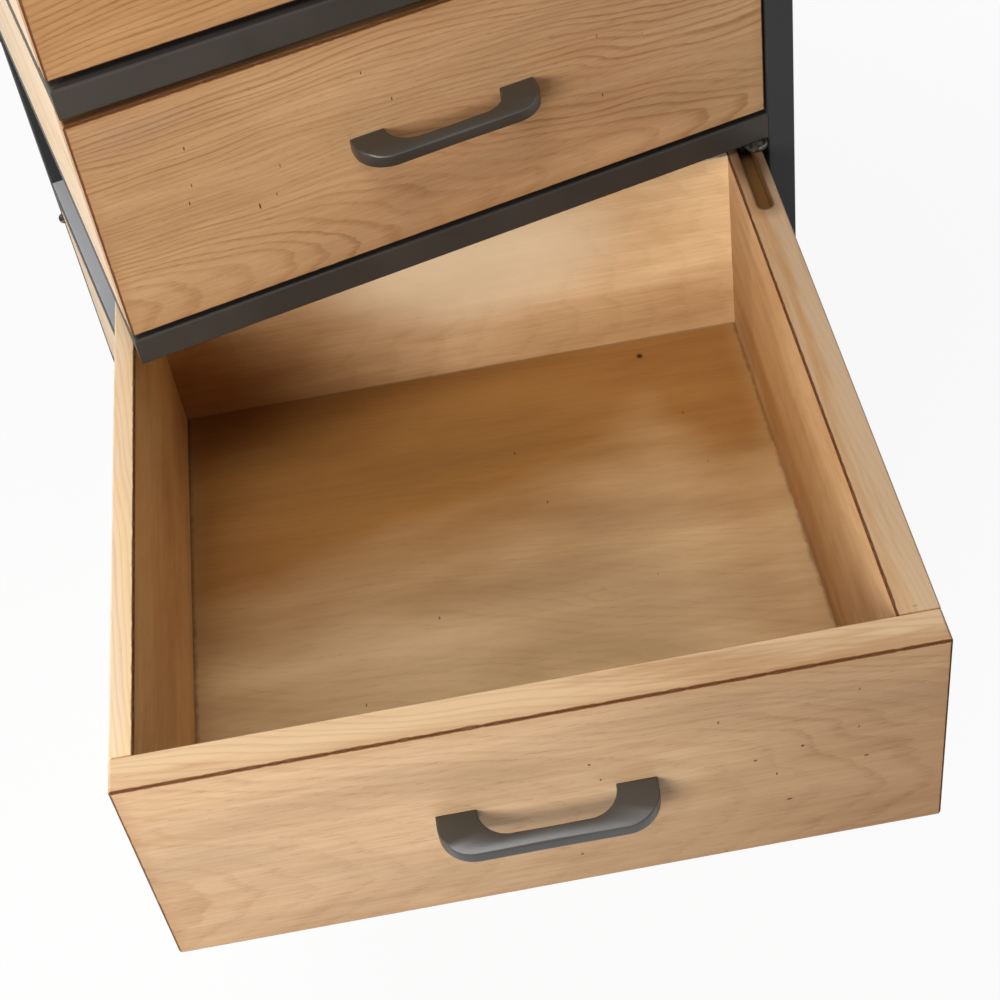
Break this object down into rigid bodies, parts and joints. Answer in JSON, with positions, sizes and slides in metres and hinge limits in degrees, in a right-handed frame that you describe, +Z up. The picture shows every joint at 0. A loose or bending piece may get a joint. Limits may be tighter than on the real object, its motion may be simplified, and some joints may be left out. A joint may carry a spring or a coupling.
{
  "type": "semainier",
  "caption": "Tall narrow chest of oak drawers sliding in an open dark steel frame with no front left post, one drawer pulled out and swung.",
  "frame": {"origin": "on the floor, in the middle of the base hoop", "axes": "+X to the right seen from the front, +Y from the front to the back, +Z up"},
  "size_m": [0.4994, 0.7914, 1.2063],
  "materials": {
    "oak_front": "oiled oak boards, dark glaze in the pores and along the edges",
    "oak_box": "paler oiled oak, planed",
    "oak_panel": "thin oak panel, oiled",
    "dark_steel": "satin anthracite lacquer on steel tube",
    "dark_handle": "satin anthracite lacquer",
    "bare_steel": "bare bright steel"
  },
  "bodies": {
    "frame": {"front_rails": "dark_steel", "left_side_rails": "dark_steel", "right_side_rails": "dark_steel", "back_rails": "dark_steel", "base_hoop": "dark_steel", "post_front_right": "dark_steel", "post_back_right": "dark_steel", "post_back_left": "dark_steel", "right_runners": "dark_steel", "stop_lugs": "bare_steel", "top_board": "oak_front"},
    "drawer_1": {"drawer_1_front": "oak_front", "drawer_1_left_side": "oak_box", "drawer_1_right_side": "oak_box", "drawer_1_back": "oak_box", "drawer_1_bottom": "oak_panel", "drawer_1_handle": "dark_handle", "drawer_1_stop_pin": "bare_steel"},
    "drawer_2": {"drawer_2_front": "oak_front", "drawer_2_left_side": "oak_box", "drawer_2_right_side": "oak_box", "drawer_2_back": "oak_box", "drawer_2_bottom": "oak_panel", "drawer_2_handle": "dark_handle", "drawer_2_stop_pin": "bare_steel"},
    "drawer_3": {"drawer_3_front": "oak_front", "drawer_3_left_side": "oak_box", "drawer_3_right_side": "oak_box", "drawer_3_back": "oak_box", "drawer_3_bottom": "oak_panel", "drawer_3_handle": "dark_handle", "drawer_3_stop_pin": "bare_steel"},
    "drawer_4": {"drawer_4_front": "oak_front", "drawer_4_left_side": "oak_box", "drawer_4_right_side": "oak_box", "drawer_4_back": "oak_box", "drawer_4_bottom": "oak_panel", "drawer_4_handle": "dark_handle", "drawer_4_stop_pin": "bare_steel"},
    "drawer_5_pin": {"drawer_5_stop_pin": "bare_steel"},
    "drawer_5": {"drawer_5_front": "oak_front", "drawer_5_left_side": "oak_box", "drawer_5_right_side": "oak_box", "drawer_5_back": "oak_box", "drawer_5_bottom": "oak_panel", "drawer_5_handle": "dark_handle"},
    "drawer_6": {"drawer_6_front": "oak_front", "drawer_6_left_side": "oak_box", "drawer_6_right_side": "oak_box", "drawer_6_back": "oak_box", "drawer_6_bottom": "oak_panel", "drawer_6_handle": "dark_handle", "drawer_6_stop_pin": "bare_steel"},
    "drawer_7": {"drawer_7_front": "oak_front", "drawer_7_left_side": "oak_box", "drawer_7_right_side": "oak_box", "drawer_7_back": "oak_box", "drawer_7_bottom": "oak_panel", "drawer_7_handle": "dark_handle", "drawer_7_stop_pin": "bare_steel"}
  },
  "joints": [
    {"name": "drawer_1_slide", "type": "slide", "parent": "frame", "child": "drawer_1", "axis": [0, -1, 0], "range_m": [-0.004, 0.3789]},
    {"name": "drawer_2_slide", "type": "slide", "parent": "frame", "child": "drawer_2", "axis": [0, -1, 0], "range_m": [-0.004, 0.3789]},
    {"name": "drawer_3_slide", "type": "slide", "parent": "frame", "child": "drawer_3", "axis": [0, -1, 0], "range_m": [0, 0.3824]},
    {"name": "drawer_4_slide", "type": "slide", "parent": "frame", "child": "drawer_4", "axis": [0, -1, 0], "range_m": [-0.004, 0.3789]},
    {"name": "drawer_5_slide", "type": "slide", "parent": "frame", "child": "drawer_5_pin", "axis": [0, -1, 0], "range_m": [-0.3789, 0]},
    {"name": "drawer_5_swivel", "type": "hinge", "parent": "drawer_5_pin", "child": "drawer_5", "pos_m": [0.17525, -0.1964, 0.4871], "axis": [0, 0, 1], "range_deg": [0, 15.3]},
    {"name": "drawer_6_slide", "type": "slide", "parent": "frame", "child": "drawer_6", "axis": [0, -1, 0], "range_m": [-0.004, 0.3789]},
    {"name": "drawer_7_slide", "type": "slide", "parent": "frame", "child": "drawer_7", "axis": [0, -1, 0], "range_m": [-0.004, 0.3789]}
  ],
  "couplings": [
    {"joint": "drawer_5_swivel", "follows": "drawer_5_slide", "rad_per_m": -0.70016}
  ]
}
